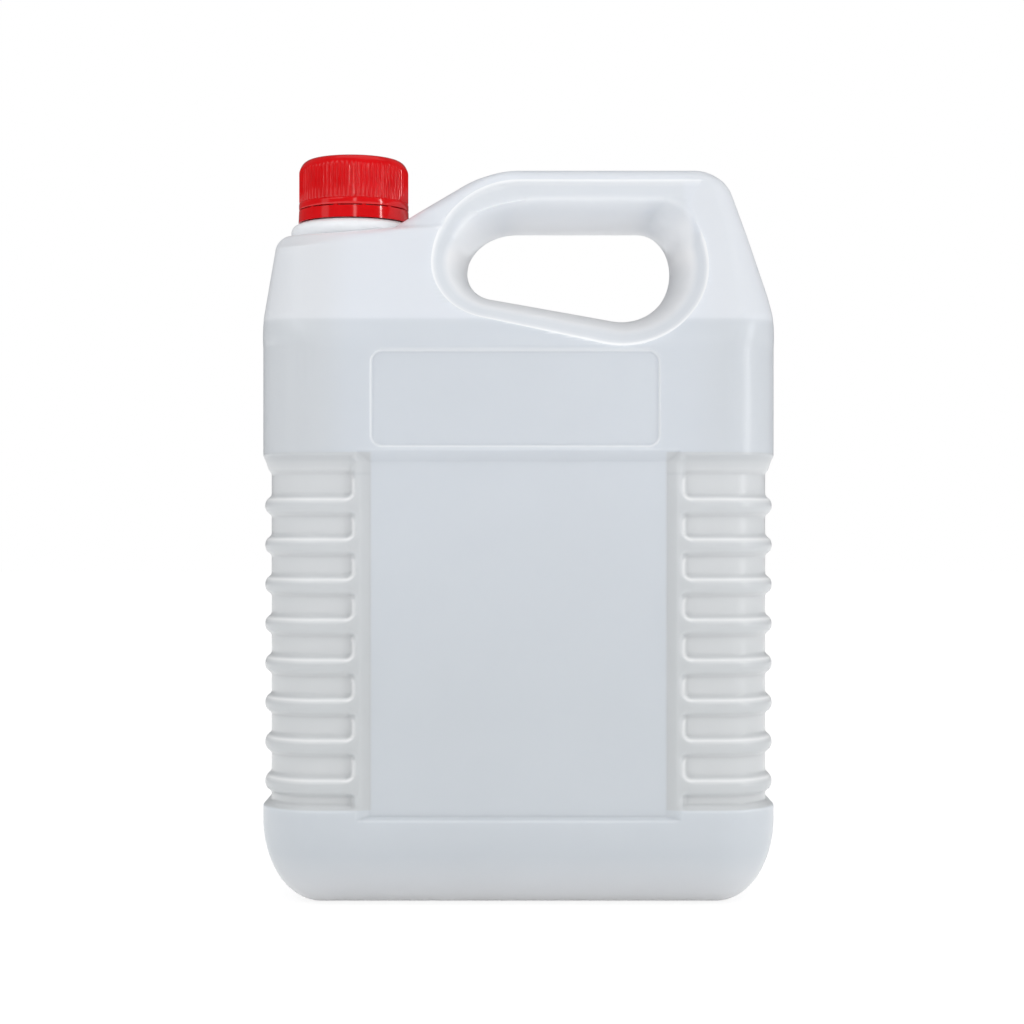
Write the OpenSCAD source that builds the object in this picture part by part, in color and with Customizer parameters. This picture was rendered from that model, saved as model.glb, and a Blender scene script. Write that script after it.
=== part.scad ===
// Blow-moulded 5 litre jug for isopropyl alcohol, with a hollow grip beside its neck,
// a screw cap over a tamper band, and the liquid inside it.
// Origin at the centre of the base on the floor. X runs along the width with the neck
// at minus X, Y runs from front to back, and Z is up. Lengths are in millimetres.

/* [Body] */
// Width over the plain bands
body_w = 190; // [184:1:214]
// Depth from front to back
body_d = 128; // [120:1:140]
// Thickness of the moulded wall
wall = 1.4; // [1.2:0.1:1.8]
// Plan radius of the upright corners
corner_r = 22; // [22:1:26]
// How far the bottom edge rounds in
foot_round_w = 21; // [15:1:21]
// Height of the rounded bottom edge
foot_round_h = 31; // [24:1:31]
// Height of the plain foot, up to the lowest groove
foot_h = 36; // [36:1:46]
// Height of the plain band between the ribs and the sloping upper part
band_h = 39.6; // [39.4:0.2:52]
// Depth of the hollow under the foot
heel_h = 2.5; // [1.5:0.5:4]
// Distance from the outside of the foot to that hollow
heel_in = 34; // [28:1:40]

/* [Grip ribs] */
// Number of ribs on each side
rib_count = 8; // [6:1:9]
// Distance between the ribs
rib_pitch = 14.6; // [13:0.1:16]
// Height of one rib
rib_h = 6.5; // [5.5:0.1:7.5]
// How far a rib stands out of the grooves
rib_proud = 2.4; // [1.8:0.1:2.6]
// Depth of the grooves below the plain bands
groove_d = 3.1; // [2.8:0.1:3.6]
// Height of the lowest groove
foot_groove_h = 5.4; // [4.6:0.2:8]
// Height of the ledge over the top groove
ledge_h = 7.2; // [5:0.2:8]
// Distance across the front between the ends of the grooves
groove_gap = 120; // [112:1:124]

/* [Panels] */
// Width of the label panel at its floor
label_w = 112; // [96:1:112]
// Depth of the label panel below the plain bands
label_d = 1.9; // [1:0.1:2.6]
// Width of the sloping edge at the sides of the label panel
label_side = 3; // [1.5:0.5:3]
// How far the label panel reaches down into the foot
label_drop = 2; // [1:0.5:4]
// Height of the sloping edge at the foot of the label panel
label_foot = 1.6; // [0.8:0.2:2.4]
// Height of the sloping edge over the label panel
label_brow = 4; // [2:0.5:4.5]
// How far the foot of that sloping edge lies below the plain band
brow_drop = 2.4; // [1.4:0.2:4]
// Width of the small panel above the label panel
plate_w = 104.5; // [80:0.5:110]
// Height of the small panel
plate_h = 34.6; // [24:0.2:35]
// Depth of the small panel
plate_d = 0.6; // [0.4:0.1:1]
// Corner radius of the small panel
plate_r = 4; // [2:0.5:8]
// How far the small panel sits towards the neck
plate_shift = 1.2; // [0:0.1:4]
// Distance from the small panel up to the bend of the faces
plate_gap = 2; // [1:0.2:3]

/* [Upper part] */
// Angle of the front and back faces to the upright
face_lean = 40; // [38:1:42]
// Radius of the bend where the faces start to slope
face_bend_r = 20; // [14:1:26]
// Angle of the side under the neck to the upright
neck_side_lean = 4.5; // [3:0.5:6]
// Angle of the side under the grip to the upright
grip_side_lean = 13; // [11:0.5:14]
// Radius of the bend where the sides start to slope
side_bend_r = 100; // [70:5:120]
// Height of the shoulder above the plain band
shoulder_rise = 45; // [44:0.5:47]
// Radius of the outer edge of the shoulder
shoulder_r = 6; // [4:0.5:8]
// How much the shoulder rises towards the grip
shoulder_fall = 3.3; // [2:0.1:3.6]
// How many times longer than deep the front and back edges of the shoulder round off
shoulder_sweep = 5; // [1:0.5:6]

/* [Grip] */
// Height of the top of the grip above the plain band
grip_rise = 73.5; // [72:0.5:76]
// Radius of the crown of the grip, seen from its end
crown_r = 15; // [13:0.5:16]
// Angle of the ramp from the shoulder up to the grip
ramp_angle = 34.5; // [32:0.5:37]
// Radius of the bend between the ramp and the grip
ramp_r = 41; // [34:1:46]
// Radius of the outer corner of the grip
grip_corner_r = 14; // [10:1:16]

/* [Finger hole] */
// Height of the widest level of the hole above the plain band
hole_rise = 33.4; // [33:0.2:35]
// Height of the hole above its widest level
hole_top = 15.3; // [13:0.1:16]
// Distance from the left end of the grip's flat top to the left end of the hole
hole_back = 21.3; // [18:0.1:23]
// Distance from the hole to the outside of the body, at the plain band
hole_leg = 35.1; // [34:0.5:40]
// Width of the upper left curve of the hole
hole_left_w = 19.2; // [15:0.1:22]
// Width of the upper right curve of the hole
hole_right_w = 12.9; // [10:0.1:16]
// Radius of the lower left curve of the hole
hole_left_r = 11.7; // [9:0.1:13]
// Radius of the lower right curve of the hole
hole_right_r = 20.1; // [17:0.1:21]
// Flare of the hole towards the neck
flare_left = 12.3; // [9:0.1:13]
// Flare of the hole towards the outer side
flare_right = 10.8; // [8:0.1:12]
// Flare of the hole upwards, at the outer side
flare_top = 11.4; // [9:0.1:12]
// Extra flare upwards, at the side of the neck
flare_lift = 5.5; // [1:0.1:6.4]
// Flare of the hole downwards
flare_low = 13; // [10:0.1:13.2]
// Angle through which the flare turns on its way out
flare_turn = 65; // [55:1:72]

/* [Neck] */
// Distance from the side of the body to the axis of the neck
neck_in = 30.3; // [30:0.1:33]
// Radius of the bore of the neck
bore_r = 15; // [13.5:0.1:15.6]
// Thickness of the wall of the neck
neck_wall = 2.3; // [1.8:0.1:2.6]
// Radius of the collar where it meets the shoulder
collar_foot_r = 24.5; // [23.5:0.1:25]
// Radius of the top of the collar
collar_top_r = 21.5; // [20.5:0.1:22.5]
// Height of the top of the collar above the shoulder
collar_h = 7.4; // [7:0.1:9]
// Height of the neck above the collar
neck_h = 21.7; // [20.7:0.1:24]
// How far the retaining bead stands out of the neck
bead_proud = 1.5; // [1.2:0.1:1.6]

/* [Thread] */
// Rise of the thread in one turn
thread_pitch = 4.2; // [4:0.1:4.6]
// Turns of thread on the neck
neck_turns = 2; // [1.75:0.25:2]
// Turns of thread in the cap
cap_turns = 1.5; // [1:0.25:1.5]
// Height of the thread ridge above its wall
ridge_h = 1.3; // [1:0.1:1.4]
// Width of the ridge at its foot
ridge_foot = 2.2; // [1.8:0.1:2.3]
// Width of the ridge at its crest
ridge_crest = 0.9; // [0.6:0.1:1.1]

/* [Cap] */
// Radius of the skirt at the foot of the knurls
cap_r = 21.1; // [20.7:0.1:21.4]
// How far the knurls stand out
knurl_d = 0.5; // [0.3:0.1:0.7]
// Number of knurls
knurl_count = 75; // [60:1:90]
// Height of the plain flange under the knurls
flange_h = 2.7; // [2:0.1:3.2]
// Radius of the flange and the tamper band
flange_r = 21.7; // [21.5:0.1:22]
// Thickness of the top of the cap
cap_top_t = 2.1; // [1.6:0.1:2.6]
// Radius of the top edge of the cap
cap_edge_r = 4.7; // [3:0.1:5.2]
// Height of the tamper band
tamper_h = 4.6; // [4:0.1:5]
// Gap between the tamper band and the cap
slit_h = 0.4; // [0.4:0.1:1]
// Number of bridges across the gap
bridge_count = 12; // [8:1:16]
// Width of one bridge
bridge_w = 1.6; // [1:0.1:2.4]
// Thickness of the sealing disc
liner_t = 1.2; // [0.8:0.1:1.6]

/* [Liquid] */
// Height of the surface of the liquid above the plain band
fill_rise = 8.6; // [2:0.2:12]

/* [Hidden] */
hdpe = [0.90, 0.92, 0.94];
red = [0.86, 0.05, 0.06];
clear_liquid = [0.80, 0.85, 0.92];
foam = [0.96, 0.96, 0.94];

// Clearances
fit = 0.3;
touch = 0.4;
thread_gap = 0.5;
eps = 0.01;

// Small edges of the neck, the cap and the band
collar_lift = 0.37;
collar_round = 0.5;
bead_flat = 0.8;
land_chamfer = 0.6;
band_taper = 0.2;
knurl_rise = 0.1;

// Levels
rib_low = foot_h + foot_groove_h + rib_h / 2;
groove_h = rib_pitch - rib_h;
ledge_z = rib_low + (rib_count - 1) * rib_pitch + rib_h / 2 + groove_h;
band_z = ledge_z + ledge_h;
bend_z = band_z + band_h;
shoulder_z = bend_z + shoulder_rise;
ramp_z = shoulder_z + shoulder_fall;
grip_z = bend_z + grip_rise;
hole_z = bend_z + hole_rise;
fill_z = bend_z + fill_rise;
collar_z = shoulder_z + collar_h;
land_z = collar_z + neck_h;
tamper_z = collar_z + touch;
cap_z = tamper_z + tamper_h + slit_h;
cap_top_z = land_z + liner_t + cap_top_t;

// Neck and cap
neck_x = neck_in - body_w / 2;
neck_r = bore_r + neck_wall;
bead_r = neck_r + bead_proud;
cap_bore_r = neck_r + ridge_h + thread_gap;
thread_top_z = land_z - ridge_foot;
thread_low_z = thread_top_z - neck_turns * thread_pitch;
thread_drop = (ridge_foot + ridge_crest) / 2 + fit;
ramp_gap = 1;

// Ramp and grip, whose foot leaves room for the tamper band
ramp_x = neck_x + flange_r - (tamper_z - ramp_gap - ramp_z) / tan(ramp_angle);
ramp_end_z = grip_z - ramp_r * (1 - cos(ramp_angle));
ramp_end_x = ramp_x + (ramp_end_z - ramp_z) / tan(ramp_angle);
grip_x = ramp_end_x + ramp_r * sin(ramp_angle);
hole_l = grip_x - hole_back;
hole_r = body_w / 2 - hole_leg;

// Steps at a corner, a rib, a curve of the hole, a bend and the foot: outside, then inside
fine = [4, 4, 7, 4, 6];
coarse = [3, 2, 5, 3, 4];

// Inset of a wall that bends from upright to a lean, measured t inside its surface
function lean_in(z, r, lean, t) =
    let (h = z - bend_z)
    h <= 0 ? t
    : h < (r - t) * sin(lean) ? r - sqrt((r - t) * (r - t) - h * h)
    : r * (1 - cos(lean)) + (h - r * sin(lean)) * tan(lean) + t / cos(lean);

// Side of the neck: leaning wall, shoulder edge, shoulder, ramp and bend
function shoulder_edge_x(t) =
    lean_in(shoulder_z - shoulder_r, side_bend_r, neck_side_lean, 0) - body_w / 2 + shoulder_r;
function left_x(z, t) =
    let (s = z + t)
    z <= shoulder_z - shoulder_r ? lean_in(z, side_bend_r, neck_side_lean, t) - body_w / 2
    : s <= shoulder_z ? shoulder_edge_x(t)
        - sqrt(max(pow(shoulder_r - t, 2) - pow(z - shoulder_z + shoulder_r, 2), 0))
    : s <= ramp_z ? shoulder_edge_x(t)
        + (s - shoulder_z) / shoulder_fall * (ramp_x + t * tan(ramp_angle / 2) - shoulder_edge_x(t))
    : z <= ramp_end_z - t * cos(ramp_angle)
        ? ramp_x + (z - ramp_z) / tan(ramp_angle) + t / sin(ramp_angle)
    : grip_x - sqrt(max(pow(ramp_r - t, 2) - pow(z - grip_z + ramp_r, 2), 0));

// Side of the grip: leaning wall and outer corner
function corner_x() =
    body_w / 2 - lean_in(grip_z - grip_corner_r * (1 - sin(grip_side_lean)), side_bend_r,
        grip_side_lean, 0) - grip_corner_r * cos(grip_side_lean);
function right_x(z, t) =
    z <= grip_z - grip_corner_r + (grip_corner_r - t) * sin(grip_side_lean)
        ? body_w / 2 - lean_in(z, side_bend_r, grip_side_lean, t)
    : corner_x() + sqrt(max(pow(grip_corner_r - t, 2) - pow(z - grip_z + grip_corner_r, 2), 0));

// Front and back: leaning faces and the crown of the grip
function crown_y() =
    body_d / 2 - lean_in(grip_z - crown_r * (1 - sin(face_lean)), face_bend_r, face_lean, 0)
    - crown_r * cos(face_lean);
function face_y(z, t) =
    z <= grip_z - crown_r + (crown_r - t) * sin(face_lean)
        ? body_d / 2 - lean_in(z, face_bend_r, face_lean, t)
    : crown_y() + sqrt(max(pow(crown_r - t, 2) - pow(z - grip_z + crown_r, 2), 0));

// Plan radius of the corners, which tighten up the slope
function plan_r(z, t) =
    let (r = lookup(z, [[bend_z, corner_r], [bend_z + 12, 0.68 * corner_r],
        [shoulder_z, 0.4 * corner_r], [grip_z, 0.36 * corner_r]]))
    max(min(r - t, 0.8 * face_y(z, t)), 0.3);

// How much longer the corners on the neck's side are, so the shoulder's long edges round off
function sweep(z) =
    lookup(z, [[shoulder_z - shoulder_r, 1], [shoulder_z, shoulder_sweep],
        [ramp_z, 0.4 + 0.6 * shoulder_sweep], [ramp_z + shoulder_r, 1]]);

// One rounded rectangle of the skin, with n steps at each corner
function ring(z, xl, xr, y, r, n, run = 1) =
    [for (q = [0:3], i = [0:n])
        let (a = 90 * q + 90 * i / n, right = q == 0 || q == 3, rx = right ? r : run * r,
            cx = right ? xr - r : xl + rx, cy = q < 2 ? y - r : r - y)
        [cx + rx * cos(a), cy + r * sin(a), z]];
function level(z, inset, n) =
    ring(z, inset - body_w / 2, body_w / 2 - inset, body_d / 2 - inset,
        max(corner_r - inset, 0.3), n);
function upper(z, t, n) =
    ring(z, left_x(z, t), right_x(z, t), face_y(z, t), plan_r(z, t), n, sweep(z));

// Closed skin through rings of equal length, the first one lowest
module skin(rings) {
    n = len(rings[0]);
    m = len(rings);
    polyhedron(
        points = [for (s = rings, p = s) p],
        faces = concat(
            [[for (i = [0:n - 1]) i]],
            [for (j = [0:m - 2], i = [0:n - 1])
                let (k = (i + 1) % n)
                [j * n + i, j * n + n + i, j * n + n + k]],
            [for (j = [0:m - 2], i = [0:n - 1])
                let (k = (i + 1) % n)
                [j * n + i, j * n + n + k, j * n + k]],
            [[for (i = [n - 1:-1:0]) (m - 1) * n + i]]),
        convexity = 8);
}

// Plain form from the foot to the crown, t inside the surface
module plain_form(t, q) {
    n = q[0];
    foot = [for (i = [0:q[4]])
        let (a = 90 * i / q[4])
        level(foot_round_h - (foot_round_h - t) * cos(a),
            foot_round_w - (foot_round_w - t) * sin(a), n)];
    bend = [for (i = [0:q[3]])
        let (a = face_lean * i / q[3]) upper(bend_z + (face_bend_r - t) * sin(a), t, n)];
    sides = [upper(bend_z + max(side_bend_r * sin(grip_side_lean),
        face_bend_r * sin(face_lean) + 3), t, n)];
    edge = [for (i = [0:q[3]])
        upper(shoulder_z - shoulder_r + (shoulder_r - t) * sin(90 * i / q[3]), t, n)];
    ramp = [for (f = [0, 0.5, 1]) upper(ramp_z - t + (ramp_end_z - ramp_z) * f, t, n)];
    crown = [for (i = [1:q[2]])
        let (a = ramp_angle * i / q[2])
        upper(grip_z - ramp_r + (ramp_r - t) * cos(ramp_angle - a), t, n)];
    skin(concat(foot, bend, sides, edge, ramp, crown));
}

// Heights and insets of the ribbed sides, from the foot up to the ledge
function rib_profile(n) = concat(
    [[foot_h, 0], [foot_h + 0.2 * foot_groove_h, 0.25 * groove_d],
        [foot_h + 0.45 * foot_groove_h, groove_d]],
    [for (k = [0:rib_count - 1], i = [0:n])
        let (a = 180 * i / n)
        [rib_low + k * rib_pitch - rib_h / 2 * cos(a), groove_d - rib_proud * sin(a)]],
    [[ledge_z, groove_d], [ledge_z + 0.25 * ledge_h, 0.68 * groove_d],
        [ledge_z + 0.76 * ledge_h, 0.26 * groove_d], [band_z, 0]]);

// What the grooves take from both sides, wrapped round the upright corners
module grooves(t, q) {
    out = 10;
    difference() {
        for (s = [-1, 1])
            translate([s * (groove_gap / 4 + body_w / 4 + out / 2 - t / 2), 0, foot_h / 2 + band_z / 2])
                cube([body_w / 2 + out + t - groove_gap / 2, body_d + out, band_z - foot_h - eps],
                    center = true);
        skin([for (p = rib_profile(q[1])) level(p[0], p[1] + t, q[0])]);
    }
}

// Recess in the front and back faces, with floor and rim outlines
module recess(xc, w, z0, z1, depth, side, low, high, r, t, n) {
    function outline(y, s, out) =
        [for (c = [0:3], i = [0:n])
            let (a = 90 * c + 90 * i / n, k = r + t,
                cx = xc + (c == 0 || c == 3 ? 1 : -1) * (w / 2 + side * out - r),
                cz = c < 2 ? z1 + high * out - r : z0 - low * out + r)
            [cx + k * cos(a), -s * y, cz + k * sin(a)]];
    face = body_d / 2 - t;
    for (s = [1, -1])
        mirror([0, s < 0 ? 1 : 0, 0])
            skin([outline(face - depth, 1, 0), outline(face + 0.2 * depth, 1, 1.2),
                outline(face + 5, 1, 1.2)]);
}

module panels(t, n) {
    brow_z = band_z - brow_drop;
    plate_z = bend_z - plate_gap;
    recess(0, groove_gap + 1, foot_h + 0.1 * foot_groove_h, brow_z, groove_d - rib_proud - 0.1,
        0, 0, 0, 1, t, 1);
    recess(0, label_w, foot_h - label_drop, brow_z, label_d, label_side, label_foot, label_brow,
        1, t, 1);
    recess(-plate_shift, plate_w, plate_z - plate_h, plate_z, plate_d, plate_d, plate_d, plate_d,
        plate_r, t, n);
}

// Outline of the finger hole in the plane of the body, with its flare out by f
function hole_outline(f, t, n) =
    let (rl = hole_left_r + f * (flare_left - 0.7) + t, rr = hole_right_r + f * flare_low + t,
        xl = hole_l - f * flare_left - t, xr = hole_r + f * flare_right + t,
        slant = asin((rr - rl) / (xr - rr - xl - rl)),
        top_r = hole_top + f * flare_top + t, top_l = top_r + f * flare_lift,
        wr = hole_right_w + f * 0.2 * flare_right + t, wl = hole_left_w + f * 1.1 * flare_left + t)
    concat(
        [for (i = [0:n]) let (a = 90 * i / n) [xr - wr + wr * cos(a), top_r * sin(a)]],
        [for (i = [0:n]) let (a = 90 + 90 * i / n) [xl + wl + wl * cos(a), top_l * sin(a)]],
        [for (i = [1:n]) let (a = 180 + (90 - slant) * i / n) [xl + rl + rl * cos(a), rl * sin(a)]],
        [for (i = [0:n - 1])
            let (a = 270 - slant + (90 + slant) * i / n) [xr - rr + rr * cos(a), rr * sin(a)]]);

// Cutter of the finger hole: narrow at the middle and flaring to both faces
module finger_hole(t, q) {
    n = q[2];
    crease = hole_outline(1, t, n);
    throat = hole_outline(0, t, n);
    stop_y = body_d / 2 + flare_low;
    function flared(a, s) =
        let (f = (1 - cos(a)) / (1 - cos(flare_turn)), g = sin(a) / sin(flare_turn))
        [for (i = [0:len(throat) - 1])
            let (x = throat[i][0] + f * (crease[i][0] - throat[i][0]),
                z = throat[i][1] + f * (crease[i][1] - throat[i][1]))
            [x, s * g * face_y(hole_z + crease[i][1], t), hole_z + z]];
    function ending(s) = [for (p = flared(flare_turn + 14, 1)) [p[0], s * stop_y, p[2]]];
    steps = [for (i = [1:q[3]]) flare_turn * i / q[3]];
    front = [for (a = steps) flared(a, -1)];
    back = [for (i = [q[3] - 1:-1:0]) flared(steps[i], 1)];
    skin(concat([ending(1), flared(flare_turn + 14, 1)], back, [flared(0, 1)], front,
        [flared(flare_turn + 14, -1), ending(-1)]));
}

// Hollow pressed up under the foot
module heel(t, n) {
    skin([level(-1, heel_in, n), level(0, heel_in, n), level(heel_h + t, heel_in + heel_h, n)]);
}

// The whole form, t inside its surface
module form(t, q) {
    difference() {
        plain_form(t, q);
        grooves(t, q);
        panels(t, q[3]);
        finger_hole(t, q);
        heel(t, q[3]);
    }
}

// Ridge of a screw thread round the Z axis, from z up, tapering off at both ends
module ridge(r, out, z, turns, start, steps) {
    n = round(turns * steps);
    function crossing(i) =
        let (a = start + 360 * turns * i / n, c = min(1, min(i, n - i) / 3 + 0.1),
            zc = z + thread_pitch * turns * i / n, h = out * ridge_h * c, root = r - out * 0.4)
        [for (p = [[root, -ridge_foot / 2], [r + h, -ridge_crest / 2 * c],
                [r + h, ridge_crest / 2 * c], [root, ridge_foot / 2]])
            [p[0] * cos(a), p[0] * sin(a), zc + p[1]]];
    rings = [for (i = [0:n]) crossing(i)];
    if (out > 0)
        skin([for (s = rings) [for (i = [3:-1:0]) s[i]]]);
    else
        skin(rings);
}

// Outside of the neck: collar, neck wall, retaining bead and land
module neck_form() {
    bead_z = cap_z;
    bead_top_z = bead_z + bead_flat;
    rotate_extrude($fn = 40)
        polygon([[0, shoulder_z - 2 * wall], [collar_foot_r, shoulder_z - 2 * wall],
            [collar_foot_r, ramp_z + collar_lift],
            [collar_foot_r - collar_round, ramp_z + collar_lift + 1.5 * collar_round],
            [collar_top_r + collar_round, collar_z - 2 * collar_round], [collar_top_r, collar_z],
            [neck_r, collar_z], [neck_r, bead_z - bead_proud], [bead_r, bead_z],
            [bead_r, bead_top_z], [neck_r, bead_top_z + bead_proud / 2],
            [neck_r, land_z - land_chamfer], [neck_r - land_chamfer, land_z], [0, land_z]]);
    ridge(neck_r, 1, thread_low_z, neck_turns, 0, 24);
}

// Passage from the body into the neck, a little narrower than the bore that finishes it
module neck_passage() {
    rotate_extrude($fn = 40)
        polygon([[0, shoulder_z - shoulder_r], [collar_foot_r - wall, shoulder_z - shoulder_r],
            [collar_foot_r - wall, shoulder_z + 1], [bore_r - 0.2, collar_z - 1],
            [bore_r - 0.2, land_z + 1], [0, land_z + 1]]);
}

module moulding() {
    difference() {
        union() {
            form(0, fine);
            translate([neck_x, 0, 0])
                neck_form();
        }
        form(wall, coarse);
        translate([neck_x, 0, 0])
            neck_passage();
    }
}

// Blow-moulded jug in one piece, with its neck, thread and hollow grip
module jug_body() {
    color(hdpe)
        difference() {
            resize([body_w, body_d, 0])
                moulding();
            translate([neck_x, 0, collar_z])
                cylinder(r = bore_r, h = 2 * neck_h, $fn = 96);
        }
}

// Liquid up to its level surface, just clear of the wall
module liquid() {
    color(clear_liquid)
        resize([0, 0, 0])
            intersection() {
                form(wall + fit, coarse);
                translate([-body_w, -body_d, 0])
                    cube([2 * body_w, 2 * body_d, fill_z]);
            }
}

// Tamper band that stays on the neck, with the bridges that join it to the cap
module tamper_band() {
    catch_r = bead_r - 1;
    band_in = flange_r - 1.6;
    band_z_top = tamper_z + tamper_h;
    bridge_t = flange_r - band_in - 3.5 * band_taper;
    color(red)
        translate([neck_x, 0, 0]) {
            rotate_extrude($fn = 96)
                polygon([[band_in, tamper_z], [flange_r, tamper_z], [flange_r - band_taper, band_z_top],
                    [band_in, band_z_top], [catch_r, tamper_z + 0.7 * tamper_h],
                    [band_in, tamper_z + 0.3 * tamper_h]]);
            for (i = [0:bridge_count - 1])
                rotate([0, 0, 360 * (i + 0.5) / bridge_count])
                    translate([band_in + band_taper, -bridge_w / 2, band_z_top - slit_h])
                        cube([bridge_t, bridge_w, 2 * slit_h]);
        }
}

// Sealing disc that lies in the top of the cap and closes the neck
module cap_liner() {
    color(foam)
        translate([neck_x, 0, land_z])
            cylinder(r = cap_bore_r - fit, h = liner_t, $fn = 96);
}

// Knurled outline of the skirt
module knurled_outline() {
    polygon([for (i = [0:2 * knurl_count - 1])
        let (a = 180 * i / knurl_count, r = cap_r + (i % 2 == 0 ? knurl_d : knurl_rise))
        [r * cos(a), r * sin(a)]]);
}

module cap_shell() {
    knurl_z = cap_z + flange_h;
    knurl_top = cap_top_z - cap_edge_r;
    core_r = cap_r - 4 * knurl_rise;
    out_r = flange_r - band_taper;
    difference() {
        union() {
            rotate_extrude($fn = 48)
                polygon(concat(
                    [[0, cap_z], [out_r, cap_z], [out_r, knurl_z - 2 * band_taper],
                        [core_r, knurl_z + band_taper], [core_r, knurl_top - 1]],
                    [for (a = [-10:25:90])
                        [cap_r - cap_edge_r * (1 - cos(a)), knurl_top + cap_edge_r * sin(a)]],
                    [[0, cap_top_z]]));
            translate([0, 0, knurl_z - knurl_rise])
                linear_extrude(knurl_top - knurl_z + knurl_rise)
                    knurled_outline();
        }
        translate([0, 0, cap_z - 1])
            cylinder(r = cap_bore_r, h = land_z + liner_t - cap_z + 1, $fn = 72);
    }
    ridge(cap_bore_r, -1, thread_low_z + (neck_turns - cap_turns) * thread_pitch - thread_drop,
        cap_turns, 360 * (neck_turns - cap_turns), 24);
}

// Screw cap with its knurled skirt, thread and seat for the sealing disc
module cap() {
    color(red)
        translate([neck_x, 0, 0])
            resize([0, 0, 0])
                cap_shell();
}

jug_body();
liquid();
tamper_band();
cap_liner();
cap();
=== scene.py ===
import logging
import math
from dataclasses import dataclass
from enum import Enum

import bpy
import numpy as np
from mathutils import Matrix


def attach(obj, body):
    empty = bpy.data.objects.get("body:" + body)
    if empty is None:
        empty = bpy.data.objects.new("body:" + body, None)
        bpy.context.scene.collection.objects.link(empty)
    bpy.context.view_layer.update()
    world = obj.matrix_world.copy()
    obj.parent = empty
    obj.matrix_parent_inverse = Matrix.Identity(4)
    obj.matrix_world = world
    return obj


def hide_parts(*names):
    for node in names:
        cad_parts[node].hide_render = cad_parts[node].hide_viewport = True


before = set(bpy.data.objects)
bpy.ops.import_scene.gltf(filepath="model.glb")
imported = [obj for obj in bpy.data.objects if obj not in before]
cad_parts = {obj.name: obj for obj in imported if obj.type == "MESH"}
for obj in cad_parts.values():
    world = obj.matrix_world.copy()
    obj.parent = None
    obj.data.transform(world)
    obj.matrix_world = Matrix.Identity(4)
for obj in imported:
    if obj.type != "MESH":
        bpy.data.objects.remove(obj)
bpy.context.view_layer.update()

MM = 0.001
LOG = logging.getLogger("jug")
Colour = tuple[float, float, float, float]
WHITE = (1.0, 1.0, 1.0, 1.0)


class Body(Enum):
    """Moving bodies of the jug, by their names in the frame."""

    JUG = "jug"
    CAP = "cap"


class Slot(Enum):
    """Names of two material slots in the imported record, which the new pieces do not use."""

    HDPE = "milky_hdpe"
    RED = "red_cap_plastic"


def linear(red: int, green: int, blue: int) -> Colour:
    """Turns display values from 0 to 255 into a linear colour with full alpha.

    Args:
        red: Red as displayed.
        green: Green as displayed.
        blue: Blue as displayed.

    Returns:
        The colour that a shader socket takes.
    """
    shown = np.array([red, green, blue]) / 255.0
    light = np.where(shown <= 0.04045, shown / 12.92, ((shown + 0.055) / 1.055) ** 2.4)
    return (*light.tolist(), 1.0)


def box_gap(dx: np.ndarray, dz: np.ndarray, radius: float) -> np.ndarray:
    """Distance past a rounded box, from how far a place lies past the centres of its corner arcs.

    Args:
        dx: Distance past the arc centres across.
        dz: Distance past them in height.
        radius: Radius of the corners.

    Returns:
        The distance from the outline, negative inside.
    """
    return np.hypot(np.maximum(dx, 0), np.maximum(dz, 0)) + np.minimum(np.maximum(dx, dz), 0) - radius


def unit(vectors: np.ndarray) -> np.ndarray:
    """Scales each row to length one."""
    return vectors / np.linalg.norm(vectors, axis=1, keepdims=True)


def dot(first: np.ndarray, second: np.ndarray) -> np.ndarray:
    """Scalar product row by row, as a column."""
    return np.sum(first * second, axis=1, keepdims=True)


def smooth(value: np.ndarray) -> np.ndarray:
    """Eases 0 to 1 with the cubic 3v^2 - 2v^3, held flat outside that range."""
    v = np.clip(value, 0.0, 1.0)
    return v * v * (3.0 - 2.0 * v)


def loop_quads(rows: int, columns: int) -> np.ndarray:
    """Quads of a grid whose columns close into a loop.

    Args:
        rows: Number of rings.
        columns: Points in each ring.

    Returns:
        An array of four corner indices a face, facing outwards when the rings run
        anticlockwise seen from the end of the stack.
    """
    row, column = np.meshgrid(np.arange(rows - 1), np.arange(columns), indexing="ij")
    following = (column + 1) % columns
    low, high = row * columns, (row + 1) * columns
    return np.stack([low + column, low + following, high + following, high + column], axis=-1).reshape(-1, 4)


def into_scene(name: str, data: bpy.types.ID) -> bpy.types.Object:
    """Puts new data into the scene.

    Args:
        name: Name of the object.
        data: Mesh, lamp or camera that it shows.

    Returns:
        The object, at the origin.
    """
    thing = bpy.data.objects.new(name, data)
    bpy.context.scene.collection.objects.link(thing)
    return thing


def make_mesh(name: str, rings: np.ndarray, capped: bool) -> bpy.types.Object:
    """Makes an object from stacked closed rings.

    Args:
        name: Name of the new piece.
        rings: Points in millimetres, shaped rings by points by 3.
        capped: True closes both ends with a flat face, False joins the last ring to the first.

    Returns:
        The new object at the origin.
    """
    rows, columns, _ = rings.shape
    if capped:
        faces = loop_quads(rows, columns).tolist()
        faces.append(list(range(columns - 1, -1, -1)))
        faces.append([(rows - 1) * columns + i for i in range(columns)])
    else:
        faces = (loop_quads(rows + 1, columns) % (rows * columns)).tolist()
    mesh = bpy.data.meshes.new(name)
    mesh.from_pydata((rings.reshape(-1, 3) * MM).tolist(), [], faces)
    mesh.validate()
    return into_scene(name, mesh)


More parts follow.
